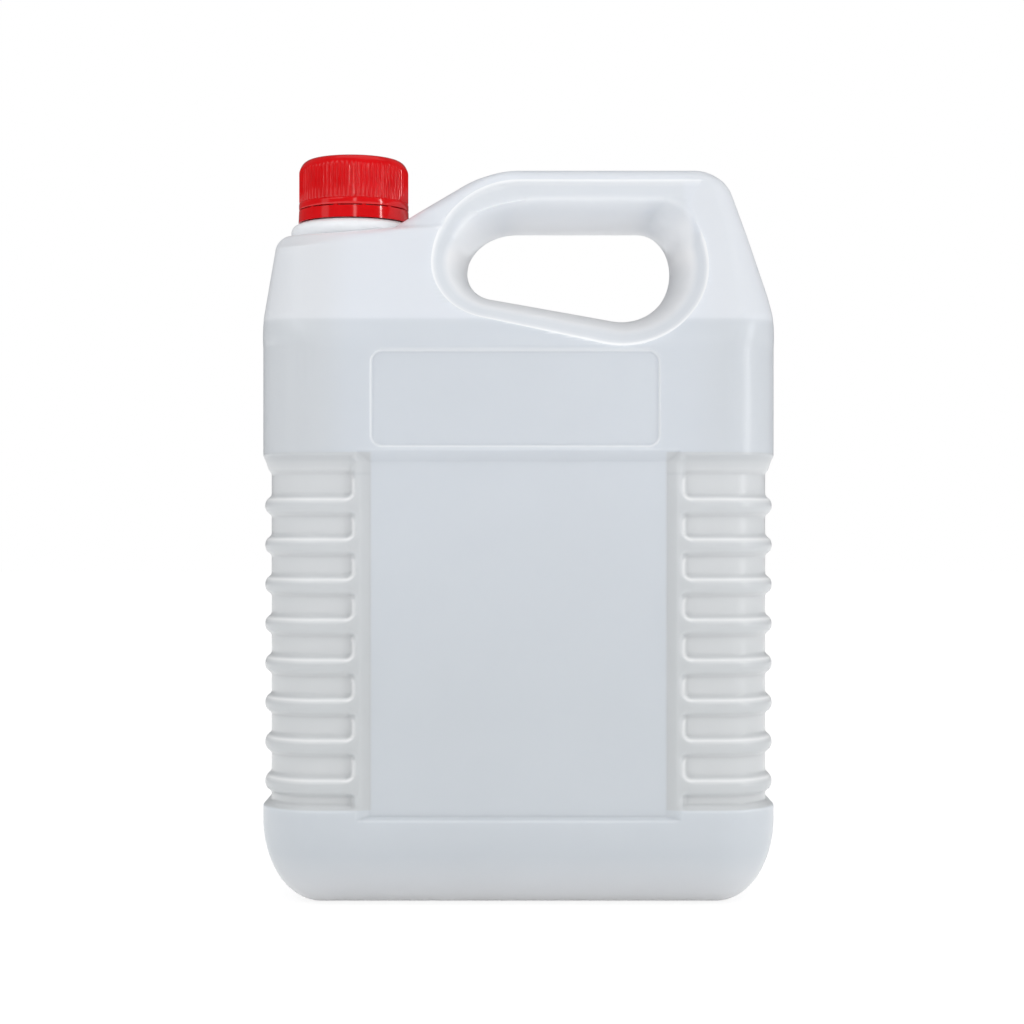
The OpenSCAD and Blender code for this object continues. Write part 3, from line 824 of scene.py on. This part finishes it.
@dataclass(frozen=True)
class JugShell:
    """Moulded body of the jug: rings up its height, with the relief pressed into them."""

    form: JugForm
    relief: Relief
    hole: FingerHole
    corner_steps: int = 12
    fine: float = 0.45

    def columns(self) -> tuple[np.ndarray, np.ndarray, np.ndarray, np.ndarray]:
        """Describes one ring as shares of its straight sides plus a unit plan normal.

        Returns:
            Shares across x and y from -1 to 1, and the normal's x and y, for each point,
            anticlockwise from above, starting at the right-hand back corner.
        """
        half = self.form.width / 2 - self.form.corner_r
        close = np.arange(46.4, 63.0, self.fine)
        side = np.concatenate([np.arange(0.0, 46.0, 7.5), close, [64.0, 66.5, 69.5]])
        across = np.concatenate([-side[:0:-1], side]) / half
        edge = np.linspace(-1, 1, 8)[1:-1]
        angles = np.linspace(0, math.pi / 2, self.corner_steps + 1)
        parts = []
        for i, (sx, sy) in enumerate([(1, 1), (-1, 1), (-1, -1), (1, -1)]):
            a = angles + i * math.pi / 2
            parts.append((np.full(len(a), sx), np.full(len(a), sy), np.cos(a), np.sin(a)))
            flat = -sy * across if i % 2 == 0 else sx * edge
            one, none = np.ones(len(flat)), np.zeros(len(flat))
            parts.append((flat, sy * one, none, sy * one) if i % 2 == 0 else (sx * one, flat, sx * one, none))
        u, v, nx, ny = (np.concatenate(part) for part in zip(*parts))
        return u, v, nx, ny

    def levels(self) -> tuple[np.ndarray, np.ndarray]:
        """Heights of the rings and their plain inset, from the hollow under the foot up to the grip.

        Returns:
            Heights and insets, ring by ring.
        """
        f = self.form
        inner = f.heel_in + f.heel_h
        heel = [(f.heel_h, inner + 14), (f.heel_h, inner), (0.5, f.heel_in + 0.6), (0.1, f.heel_in + 0.1),
                (0.0, f.heel_in - 1)]
        a = np.radians(np.linspace(0, 90, 22))
        foot = np.stack([f.foot_round_h * (1 - np.cos(a)), f.foot_round_w * (1 - np.sin(a))], axis=-1)
        low = np.array([31.8, 32.4, 32.9, 33.5, 34.0, 34.5, 35.3, 35.7])
        groove = np.linspace(f.foot_h, f.foot_h + f.foot_groove_h, 13)[:-1]
        arc = -np.cos(np.linspace(0, math.pi, 13)) * f.rib_h / 2
        floor = f.rib_h / 2 + np.array([0.3, 0.7, 1.2, 1.9, 3.0, 5.1, 6.2, 6.9, 7.4, 7.8])
        ribs = (f.rib_low + f.rib_pitch * np.arange(f.rib_count)[:, None] + np.append(arc, floor)).ravel()
        brow_z = f.band_z - self.relief.brow_drop
        ledge = np.linspace(f.ledge_z, brow_z, 10)[:-1]
        brow = np.linspace(brow_z, brow_z + self.relief.label_brow, 9)
        brow = np.append(brow, brow[-1] + 0.4)
        plate_high = f.bend_z - self.relief.plate_gap
        plate_low = plate_high - self.relief.plate_h
        plate = np.concatenate([np.arange(plate_low - 0.5, plate_low + 5, self.fine),
                                np.linspace(plate_low + 7, plate_high - 7, 4),
                                np.arange(plate_high - 4.6, plate_high + 0.7, self.fine)])
        bend = f.bend_z + f.face_bend_r * np.sin(np.radians(np.linspace(0, f.face_lean, 12)))
        side = np.linspace(bend[-1] + 1.6, f.shoulder_z - f.shoulder_r - 1.5, 16)
        edge = f.shoulder_z - f.shoulder_r * (1 - np.sin(np.radians(np.linspace(0, 90, 10))))
        shoulder = np.linspace(f.shoulder_z, f.ramp_z, 9)[1:]
        ramp = np.linspace(f.ramp_z, f.ramp_end[1], 14)[1:]
        crown = f.grip_z - f.ramp_r * (1 - np.cos(np.radians(np.linspace(f.ramp_angle, 0, 24))))[1:]
        z = np.concatenate([low, groove, ribs, ledge, brow, plate, bend, side, edge, shoulder, ramp, crown])
        plain = np.stack([z, np.zeros_like(z)], axis=-1)
        both = np.concatenate([np.array(heel), foot, plain])
        return both[:, 0], both[:, 1]

    def rings(self) -> np.ndarray:
        """Rounded rectangles up the height, each point moved in by the relief along its plan normal.

        Returns:
            Points in millimetres, shaped rings by points by 3.
        """
        f = self.form
        z, inset = self.levels()
        u, v, nx, ny = self.columns()
        z, inset = z[:, None], inset[:, None]
        left = f.left_x(z) + inset
        right = f.right_x(z) - inset
        face = f.face_y(z) - inset
        radius = np.maximum(f.plan_r(z) - inset, 0.3)
        long = np.where(u * np.ones_like(z) < 0, radius * f.sweep(z), radius)
        between = (left + radius * f.sweep(z)) * (1 - u) / 2 + (right - radius) * (1 + u) / 2
        x = np.where(np.abs(u) < 1, between, np.where(u < 0, left + long, right - long)) + long * nx
        y = (face - radius) * v + radius * ny
        on_face = (np.abs(ny) > 0.999) & (np.abs(nx) < 0.001)
        depth = np.where(on_face, self.relief.front(x, z), self.relief.groove(z))
        depth = np.where((z > f.foot_round_h) & (z < f.bend_z), depth, 0)
        return np.stack([x - depth * nx, y - depth * ny, np.broadcast_to(z, x.shape)], axis=-1)

    def tones(self, shell: bpy.types.Object) -> None:
        """Writes the strengths of the light and shade painted at each vertex, which the finish reads.

        A vertex of the finger hole takes the mean of its faces, so the painted highlight on the rim has soft
        edges.

        Args:
            shell: Shell with its hole cut, whose faces carry their zone.
        """
        mesh = shell.data
        x, _, z = read(mesh.vertices, "co", np.float32, 3).reshape(-1, 3).T.astype(float) / MM
        zone = read(mesh.attributes["zone"].data, "value", np.float32)
        on = np.repeat(zone, read(mesh.polygons, "loop_total", np.int32))
        vertex = read(mesh.loops, "vertex_index", np.int32)
        count = np.maximum(np.bincount(vertex, minlength=len(x)), 1)
        scoop, deep, rim = (np.bincount(vertex, weights=part, minlength=len(x)) / count
                            for part in (on > 0.5, (on > 0.5) & (on < 1.5), on > 2.5))
        upright = (z > self.form.foot_round_h) & (z < self.form.bend_z) & (scoop < 0.01)
        hole_z = self.form.bend_z + self.hole.rise
        # Painted light in the deep flare, strongest on the grip's underside: half as strong low down, weaker
        # near the fold at the top and at the upper corners.
        low = 0.5 + 0.5 * smooth((z - hole_z + 6) / 16)
        fold = 1 - 0.75 * smooth((z - hole_z - 13) / 10)
        bend = 1 - 0.5 * smooth((np.abs(x - 23) - 20) / 10) * smooth((z - hole_z - 2) / 8)
        # The painted shade of the finger hole fades out on the upper part of its outer leg.
        leg = 1 - smooth((x - 60) / 8) * smooth((z - hole_z - 8) / 8)
        # Painted highlights on the walls and the hole's rim, a less blue tone with painted shade on the
        # sides, painted shade in the hole and on the brow, line and corners.
        values = {"painted_highlight": np.where(upright, self.relief.painted_highlight(x, z), 0.5 * rim),
                  "painted_side_shade": np.where(scoop < 0.01, self.relief.painted_side_shade(x, z), 0.0),
                  "scoop": scoop * leg, "under": deep * low * fold * bend,
                  "shade": np.where(scoop < 0.01, self.relief.shade(x, z), 0.0)}
        for name, value in values.items():
            layer = mesh.attributes.new(name, "FLOAT", "POINT")
            layer.data.foreach_set("value", value.astype(np.float32))
        mesh.attributes.remove(mesh.attributes["zone"])

    def build(self, material: bpy.types.Material) -> None:
        """Makes the shell, cuts the finger hole and puts it in place of the plain one.

        Args:
            material: Finish of the shell.
        """
        shell = make_mesh("jug_shell", self.rings(), True)
        shell.data.attributes.new("zone", "FLOAT", "FACE")
        cut_away(shell, self.hole.cutter())
        shade_by_angle(shell, 75)
        self.tones(shell)
        settle(shell, Body.JUG, material, "jug_body")


@dataclass(frozen=True)
class Neck:
    """Neck of the jug: collar, wall, retaining bead, land, bore and screw thread."""

    form: JugForm
    bore_r: float = 15.0
    wall_r: float = 17.3
    bead_r: float = 18.8
    collar_foot_r: float = 24.5
    collar_top_r: float = 21.5
    collar_z: float = 257.4
    land_z: float = 279.1
    bead_z: float = 262.8
    pitch: float = 4.2
    turns: float = 2.0
    ridge_h: float = 1.3
    ridge_foot: float = 2.2
    ridge_crest: float = 0.9
    around: int = 144

    def profile(self) -> np.ndarray:
        """Outline from inside the shoulder up the outside, over the land and down the bore.

        Returns:
            Points radius, height.
        """
        bore, wall, bead, foot = self.bore_r, self.wall_r, self.bead_r, self.collar_foot_r
        top, land, z, foot_z = self.collar_z, self.land_z, self.bead_z, self.form.ramp_z
        low = self.form.shoulder_z - 4
        a = np.radians(np.linspace(0, 90, 7))
        edge = np.stack([self.collar_top_r - 0.6 * (1 - np.cos(a)), top - 0.6 * (1 - np.sin(a))], axis=-1)
        a = np.radians(np.linspace(90, 8, 9))
        skirt = np.stack([foot - 2.6 * (1 - np.sin(a)), foot_z + 0.4 + 3.0 * np.cos(a)], axis=-1)
        return np.array([(bore, low), (foot, low), (foot, foot_z - 0.6), *skirt, *edge, (wall + 0.4, top),
                         (wall, top + 0.4), (wall, z - 1.6), (bead - 0.2, z - 0.1), (bead, z + 0.2),
                         (bead, z + 0.6), (bead - 0.3, z + 0.9), (wall, z + 1.6), (wall, land - 0.7),
                         (wall - 0.2, land - 0.2), (wall - 0.7, land), (bore + 0.3, land),
                         (bore, land - 0.3)])

    def revolved(self) -> np.ndarray:
        """The profile turned round the neck's axis.

        Returns:
            Points in millimetres, one ring for each profile point.
        """
        a = np.linspace(0, 2 * math.pi, self.around, endpoint=False)
        p = self.profile()
        x = self.form.neck_x + p[:, :1] * np.cos(a)
        y = p[:, :1] * np.sin(a)
        return np.stack([x, y, np.broadcast_to(p[:, 1:], x.shape)], axis=-1)

    def ridge(self, name: str, radius: float, height: float, low: float, turns: float,
              start: float) -> bpy.types.Object:
        """Sweeps the thread's trapezoid along a helix, tapering off at both ends.

        Args:
            name: Name of the new piece.
            radius: Radius of the wall that carries the ridge.
            height: Height of the ridge over that wall, negative inwards.
            low: Height at which the helix starts.
            turns: Number of turns.
            start: Angle at which it starts, in degrees.

        Returns:
            The ridge as a closed piece.
        """
        share = np.linspace(0, 1, int(turns * self.around / 2) + 1)[:, None]
        angle = math.radians(start) + 2 * math.pi * turns * share
        ends = np.minimum(1, np.minimum(share, 1 - share) * turns * 8 + 0.08)
        root = np.full_like(share, radius - math.copysign(0.3, height))
        crest_r, foot = radius + height * ends, np.full_like(share, self.ridge_foot / 2)
        r = np.concatenate([root, crest_r, crest_r, root], axis=1)
        crest = self.ridge_crest / 2 * ends
        across = np.concatenate([-foot, -crest, crest, foot], axis=1)
        z = low + self.pitch * turns * share + across
        rings = np.stack([self.form.neck_x + r * np.cos(angle), r * np.sin(angle), z], axis=-1)
        ridge = make_mesh(name, rings[:, ::-1] if height > 0 else rings, True)
        shade_by_angle(ridge, 30)
        return ridge

    def build(self, material: bpy.types.Material) -> None:
        """Makes the neck and its thread.

        Args:
            material: Finish of the moulded jug.
        """
        neck = make_mesh("jug_neck", self.revolved(), False)
        shade_by_angle(neck, 35)
        low = self.land_z - self.ridge_foot - self.turns * self.pitch
        ridge = self.ridge("neck_thread", self.wall_r, self.ridge_h, low, self.turns, 0.0)
        for piece in (neck, ridge):
            settle(piece, Body.JUG, material, "jug_body")


@dataclass(frozen=True)
class ScrewCap:
    """Screw cap: knurled skirt over a plain flange, with a rounded top edge, bore and thread."""

    form: JugForm
    neck: Neck
    skirt_r: float = 21.15
    knurl_d: float = 0.45
    knurls: int = 75
    low_z: float = 262.8
    flange_h: float = 2.7
    flange_r: float = 21.5
    bore_r: float = 19.1
    ceiling_z: float = 280.3
    top_z: float = 282.4
    edge_r: float = 4.7
    thread_turns: float = 1.5
    thread_drop: float = 1.85
    per_knurl: int = 8

    def profile(self) -> np.ndarray:
        """Outline of the cap from its ceiling down the bore, round the flange and up to the top.

        Returns:
            Points radius, height and how strongly the knurls show there, from 0 to 1.
        """
        bore, flange, skirt, edge = self.bore_r, self.flange_r, self.skirt_r, self.edge_r
        low, ceiling, top = self.low_z, self.ceiling_z, self.top_z
        knurl_low, knurl_high = low + self.flange_h, top - edge
        a = np.radians(np.linspace(0, 90, 14))
        rounding = np.stack([skirt - edge * (1 - np.cos(a)), knurl_high + edge * np.sin(a),
                             np.clip(1 - a / 0.35, 0, 1)], axis=-1)
        return np.array([(0.01, ceiling, 0), (bore * 0.5, ceiling, 0), (bore - 0.3, ceiling, 0),
                         (bore, ceiling - 0.3, 0), (bore, low + 0.5, 0), (bore + 0.3, low, 0),
                         (flange - 0.35, low, 0), (flange - 0.1, low + 0.1, 0), (flange, low + 0.35, 0),
                         (flange, knurl_low - 0.5, 0), (flange - 0.08, knurl_low - 0.2, 0),
                         (flange - 0.3, knurl_low, 0), (skirt - 0.05, knurl_low + 0.1, 0),
                         (skirt, knurl_low + 0.5, 1), (skirt, (knurl_low + knurl_high) / 2, 1), *rounding,
                         (skirt - edge - 1.5, top, 0), (skirt * 0.5, top, 0), (0.01, top, 0)])

    def rings(self) -> np.ndarray:
        """The profile turned round the axis, with the knurls as narrow rounded ribs.

        A knurl's height is the third power of the cosine of its angle, so the ribs are narrow
        and the valleys between them wide.

        Returns:
            Points in millimetres, shaped rings by points by 3.
        """
        count = self.knurls * self.per_knurl
        a = np.linspace(0, 2 * math.pi, count, endpoint=False)
        p = self.profile()
        bump = np.abs(np.cos(a * self.knurls / 2)) ** 3
        r = p[:, :1] + p[:, 2:] * self.knurl_d * (bump - 0.35)
        x = self.form.neck_x + r * np.cos(a)
        return np.stack([x, r * np.sin(a), np.broadcast_to(p[:, 1:2], x.shape)], axis=-1)

    def build(self, material: bpy.types.Material) -> None:
        """Makes the cap and its inner thread.

        Args:
            material: Finish of the cap.
        """
        cap = make_mesh("screw_cap", self.rings(), True)
        shade_by_angle(cap, 40)
        neck = self.neck
        low = neck.land_z - neck.ridge_foot - self.thread_turns * neck.pitch - self.thread_drop
        ridge = neck.ridge("cap_thread", self.bore_r, -neck.ridge_h, low, self.thread_turns, 180.0)
        for piece in (cap, ridge):
            settle(piece, Body.CAP, material, "cap")


@dataclass(frozen=True)
class Nodes:
    """Small helper that places shader nodes and links them by name."""

    owner: bpy.types.Material | bpy.types.World

    @classmethod
    def of_material(cls, name: str) -> "Nodes":
        """Starts a new material.

        Args:
            name: Name of the material.

        Returns:
            The helper for its nodes.
        """
        material = bpy.data.materials.new(name)
        material.use_nodes = True
        return cls(material)

    def fill(self, node: bpy.types.Node, **values: object) -> None:
        """Sets properties and inputs of a node by name.

        Args:
            node: Node to fill.
            **values: Properties, or inputs with spaces written as underscores. An input takes a
                number, a colour or another node's output.
        """
        for name, value in values.items():
            if hasattr(node, name):
                setattr(node, name, value)
            elif isinstance(value, bpy.types.NodeSocket):
                self.owner.node_tree.links.new(value, node.inputs[name.replace("_", " ")])
            else:
                node.inputs[name.replace("_", " ")].default_value = value

    def add(self, kind: str, *sources: bpy.types.NodeSocket, **values: object) -> bpy.types.Node:
        """Adds a node, links its first inputs and fills the others by name.

        Args:
            kind: Type of the node.
            *sources: Outputs for the first inputs, in their order.
            **values: What fill takes.

        Returns:
            The node.
        """
        node = self.owner.node_tree.nodes.new(kind)
        for at, source in enumerate(sources):
            self.owner.node_tree.links.new(source, node.inputs[at])
        self.fill(node, **values)
        return node

    def noise(self, place: bpy.types.NodeSocket, scale: float, detail: float) -> bpy.types.NodeSocket:
        """Strength of a noise at each place."""
        return self.add("ShaderNodeTexNoise", Vector=place, Scale=scale, Detail=detail).outputs["Fac"]


@dataclass(frozen=True)
class MilkyPlastic:
    """Natural blow-moulded polyethylene: milky, satin, darker where liquid stands behind the wall, with light
    and shade painted into its tone.
    """

    full: Colour = linear(211, 216, 222)
    # Darker towards the bottom.
    deep: Colour = linear(206, 211, 216)
    # Lighter on the lowest rounding of the foot: painted light from below.
    painted_foot_light: Colour = linear(226, 227, 229)
    empty: Colour = linear(223, 227, 233)
    # Painted shade in the finger hole.
    flare: Colour = linear(216, 220, 225)
    # Painted light on the underside of the grip in the finger hole.
    under: Colour = linear(245, 245, 246)
    # Painted highlight along the edges.
    edge: Colour = WHITE
    # Painted shade on the brow, the line below it and the corners.
    painted_shade: Colour = (0.86, 0.87, 0.88, 1.0)
    # Less blue and darker on the sides: a tone with painted shade.
    side_shade_tone: Colour = (0.95, 0.93, 0.90, 1.0)
    fill_z: float = 0.2149
    span: float = 0.2785
    roughness: float = 0.3
    wave_d: float = 0.0015
    grain_d: float = 0.0001
    name: str = "milky_plastic"

    def build(self) -> bpy.types.Material:
        """Makes the material: tone by height, darker towards the bottom with painted light on the foot's
        rounding and a step at the liquid's surface, and a faint ripple.

        Vertex values paint light and shade on it: a less blue tone with painted shade on the sides,
        painted shade in the finger hole, painted light on the grip's underside, painted shade on the
        brow and corners, and painted highlights along the edges.

        Returns:
            The material.
        """
        nodes = Nodes.of_material(self.name)
        place = nodes.add("ShaderNodeTexCoord").outputs["Object"]
        parts = nodes.add("ShaderNodeSeparateXYZ", place)
        height = nodes.add("ShaderNodeMapRange", parts.outputs["Z"], From_Max=self.span)
        ramp = nodes.add("ShaderNodeValToRGB", height.outputs[0])
        at = self.fill_z / self.span
        # Painted light on the foot's lower rounding, darker towards the bottom above it, and the step at the
        # liquid's surface.
        stops = [(0.0, self.painted_foot_light), (0.07, self.deep), (0.25, self.deep), (0.6, self.full),
                 (at - 0.003, self.full), (at + 0.002, self.empty)]
        elements = ramp.color_ramp.elements
        elements[0].position, elements[0].color = stops[0]
        elements[1].position, elements[1].color = stops[-1]
        for position, colour in stops[1:-1]:
            elements.new(position).color = colour
        last = nodes.add("ShaderNodeMixRGB", blend_type="MULTIPLY", Fac=0.06, Color1=ramp.outputs["Color"],
                         Color2=nodes.noise(place, 14.0, 2.0)).outputs["Color"]
        # Vertex values mix in painted light and shade: a less blue shaded tone on the sides, shade in the
        # hole, light on the grip's underside, shade on the brow and corners, highlights on the edges.
        for name, kind, colour, start, end in (("painted_side_shade", "MULTIPLY", self.side_shade_tone, 0.0, 1.0),
                                               ("scoop", "MIX", self.flare, 0.3, 0.7),
                                               ("under", "MIX", self.under, 0.0, 1.0),
                                               ("shade", "MULTIPLY", self.painted_shade, 0.0, 1.0),
                                               ("painted_highlight", "MIX", self.edge, 0.05, 1.0)):
            value = nodes.add("ShaderNodeAttribute", attribute_name=name)
            share = nodes.add("ShaderNodeMapRange", value.outputs["Fac"], From_Min=start, From_Max=end)
            last = nodes.add("ShaderNodeMixRGB", share.outputs[0], last, blend_type=kind,
                             Color2=colour).outputs["Color"]
        wave = nodes.add("ShaderNodeBump", Strength=0.25, Distance=self.wave_d,
                         Height=nodes.noise(place, 26.0, 3.0))
        fine = nodes.add("ShaderNodeBump", Strength=0.12, Distance=self.grain_d,
                         Height=nodes.noise(place, 900.0, 2.0), Normal=wave.outputs["Normal"])
        nodes.fill(nodes.owner.node_tree.nodes["Principled BSDF"], Base_Color=last, Roughness=self.roughness,
                   IOR=1.5, Subsurface_Weight=0.9, Subsurface_Radius=(1.0, 1.0, 1.0), Subsurface_Scale=0.004,
                   Normal=fine.outputs["Normal"])
        return nodes.owner


@dataclass(frozen=True)
class GlossyPlastic:
    """Moulded plastic with a gloss, slightly uneven in tone and smoothness."""

    name: str
    colour: Colour
    darker: Colour
    roughness: float

    def build(self) -> bpy.types.Material:
        """Makes the material from a noise that shifts its tone and its roughness.

        Returns:
            The material.
        """
        nodes = Nodes.of_material(self.name)
        noise = nodes.noise(nodes.add("ShaderNodeTexCoord").outputs["Object"], 160.0, 3.0)
        ramp = nodes.add("ShaderNodeValToRGB", noise)
        low, high = ramp.color_ramp.elements
        low.position, low.color = 0.25, self.darker
        high.position, high.color = 0.6, self.colour
        rough = nodes.add("ShaderNodeMapRange", noise, To_Min=self.roughness * 0.85,
                          To_Max=self.roughness * 1.2)
        nodes.fill(nodes.owner.node_tree.nodes["Principled BSDF"], Base_Color=ramp.outputs["Color"],
                   Roughness=rough.outputs[0], IOR=1.5)
        return nodes.owner


@dataclass(frozen=True)
class Studio:
    """White studio: floor, soft lamps, world and the camera of the photograph."""

    lens: float = 70.3
    camera_at: tuple[float, float, float] = (-0.0024, -0.788, 0.1445)
    world_light: float = 0.86
    mirror_light: float = 0.12
    floor_glow: float = 1.12
    floor_shadow: float = 0.25
    floor_reach: float = 4.0

    def camera(self) -> None:
        """Stands the camera straight in front, looking along +Y."""
        data = bpy.data.cameras.new("camera")
        data.lens = self.lens
        data.sensor_width = 36.0
        camera = into_scene("camera", data)
        camera.location = self.camera_at
        camera.rotation_euler = (math.pi / 2, 0, 0)
        bpy.context.scene.camera = camera

    def floor(self) -> None:
        """Lays a seamless white floor that shows as white with a pale shadow."""
        mesh = bpy.data.meshes.new("floor")
        reach = self.floor_reach
        mesh.from_pydata([(-reach, -reach, 0), (reach, -reach, 0), (reach, reach, 0), (-reach, reach, 0)], [],
                         [(0, 1, 2, 3)])
        nodes = Nodes.of_material("floor_white")
        kept = nodes.owner.node_tree.nodes
        kept.remove(kept["Principled BSDF"])
        diffuse = nodes.add("ShaderNodeBsdfDiffuse", Color=(0.9, 0.9, 0.9, 1.0))
        glow = nodes.add("ShaderNodeEmission", Color=WHITE, Strength=self.floor_glow)
        path = nodes.add("ShaderNodeLightPath").outputs
        seen = nodes.add("ShaderNodeMath", path["Is Camera Ray"], path["Is Glossy Ray"], operation="MAXIMUM")
        also = nodes.add("ShaderNodeMath", seen.outputs[0], path["Is Transmission Ray"], operation="MAXIMUM")
        share = nodes.add("ShaderNodeMath", also.outputs[0], operation="MULTIPLY")
        share.inputs[1].default_value = 1 - self.floor_shadow
        mix = nodes.add("ShaderNodeMixShader", share.outputs[0], diffuse.outputs[0], glow.outputs[0])
        nodes.fill(kept["Material Output"], Surface=mix.outputs[0])
        mesh.materials.append(nodes.owner)
        into_scene("floor", mesh)

    def world(self) -> None:
        """Fills the surroundings with even white light, white to the camera and dim in reflections."""
        world = bpy.data.worlds.new("world")
        bpy.context.scene.world = world
        world.use_nodes = True
        nodes = Nodes(world)
        path = nodes.add("ShaderNodeLightPath").outputs
        mirrored = nodes.add("ShaderNodeMapRange", path["Is Glossy Ray"], To_Min=self.world_light,
                             To_Max=self.mirror_light)
        level = nodes.add("ShaderNodeMapRange", path["Is Camera Ray"], To_Min=mirrored.outputs[0], To_Max=1.0)
        nodes.fill(world.node_tree.nodes["Background"], Color=WHITE, Strength=level.outputs[0])

    def lamp(self, name: str, at: tuple[float, ...], size: tuple[float, float], power: float) -> None:
        """Hangs one rectangular soft lamp that faces the middle of the jug.

        Args:
            name: Name of the lamp.
            at: Where it hangs, in metres.
            size: Width and height in metres.
            power: Power in watts.
        """
        data = bpy.data.lights.new(name, "AREA")
        data.shape = "RECTANGLE"
        data.size, data.size_y = size
        data.energy = power
        lamp = into_scene(name, data)
        aim = np.array([0.0, 0.0, 0.16]) - np.array(at)
        lamp.location = at
        pitch = math.atan2(math.hypot(aim[0], aim[1]), -aim[2])
        lamp.rotation_euler = (pitch, 0, math.atan2(-aim[0], aim[1]))

    def build(self) -> None:
        """Sets up the camera, floor, world and lamps."""
        self.camera()
        self.floor()
        self.world()
        for lamp in (("key", (-0.9, -1.3, 1.3), (0.9, 0.9), 3.5),
                     ("streak", (1.37, -0.74, 0.5), (0.05, 1.2), 5.5),
                     ("side", (-1.25, -0.75, 0.45), (0.4, 1.3), 1.2),
                     ("front", (0.12, -1.6, 0.6), (0.16, 0.9), 1.4),
                     ("top", (0.1, 0.2, 1.6), (1.2, 1.0), 1.2)):
            self.lamp(*lamp)
        bpy.context.scene.view_settings.view_transform = "Standard"


@dataclass(frozen=True)
class Jug:
    """The whole jug: shell, neck, cap and the CAD pieces that keep their own shape."""

    form: JugForm = JugForm()

    def dress(self, node: str, material: bpy.types.Material) -> None:
        """Gives a kept CAD node its material.

        Args:
            node: Name of the node.
            material: Finish that it shows.
        """
        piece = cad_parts[node]
        for place in piece.material_slots:
            place.material = material
        LOG.info("%s: kept, dressed in %s", node, material.name)

    def build(self) -> None:
        """Makes the pieces in order, from the moulded body up to the cap."""
        plastic = MilkyPlastic().build()
        red = GlossyPlastic("cap_red", linear(212, 2, 10), linear(202, 1, 7), 0.11).build()
        foam = GlossyPlastic("liner_white", linear(236, 236, 232), linear(226, 226, 222), 0.7).build()
        water = GlossyPlastic("liquid_clear", linear(214, 222, 232), linear(208, 217, 228), 0.08).build()
        JugShell(self.form, Relief(self.form), FingerHole(self.form)).build(plastic)
        neck = Neck(self.form)
        # The neck takes a lighter copy of the plastic: painted light against the shade below the cap.
        neck.build(MilkyPlastic(name="milky_neck_painted_light", empty=linear(236, 239, 243)).build())
        ScrewCap(self.form, neck).build(red)
        self.dress("tamper_band", red)
        self.dress("cap_liner", foam)
        self.dress("liquid", water)


def main() -> None:
    """Builds the studio and the jug."""
    logging.basicConfig(level=logging.INFO, format="%(name)s: %(message)s")
    Studio().build()
    Jug().build()


if __name__ == "__main__":
    main()
